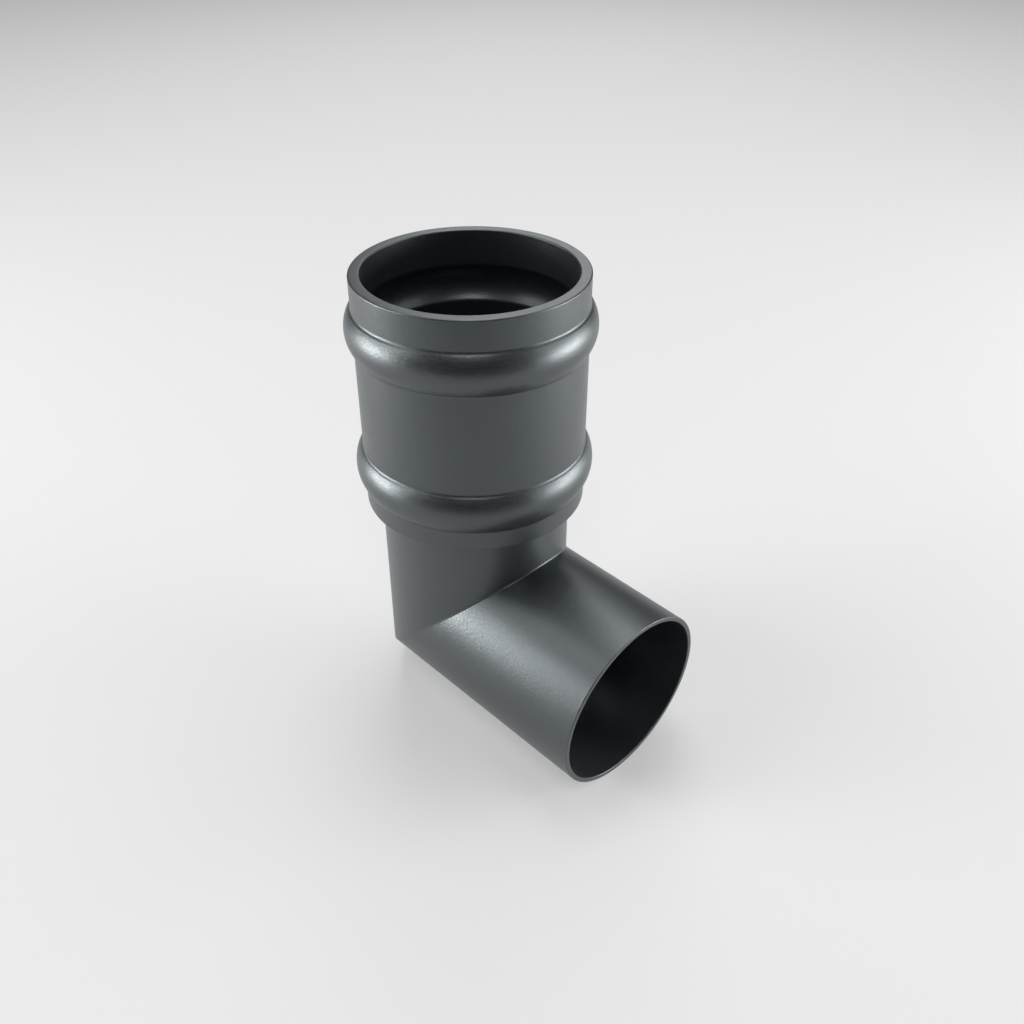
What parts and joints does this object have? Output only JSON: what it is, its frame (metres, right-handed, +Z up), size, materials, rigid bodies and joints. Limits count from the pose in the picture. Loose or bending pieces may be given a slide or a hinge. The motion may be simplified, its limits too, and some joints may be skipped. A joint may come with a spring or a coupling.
{
  "type": "downpipe bend",
  "caption": "Mitred 92.5 degree bend for a round rainwater downpipe, with a double-beaded socket collar above and a plain open arm that falls a little.",
  "frame": {"origin": "on the socket's axis at its seat, the ledge that the end of the downpipe above stands on", "axes": "+Z up the socket's axis, out of its mouth; +X level, over the arm, which points that way and falls 2.5 degrees below it"},
  "size_m": [0.1365, 0.094, 0.1921],
  "materials": {
    "powder_coated_aluminium": "satin anthracite grey powder coat"
  },
  "bodies": {
    "root": {"downpipe_bend": "powder_coated_aluminium"}
  },
  "joints": []
}
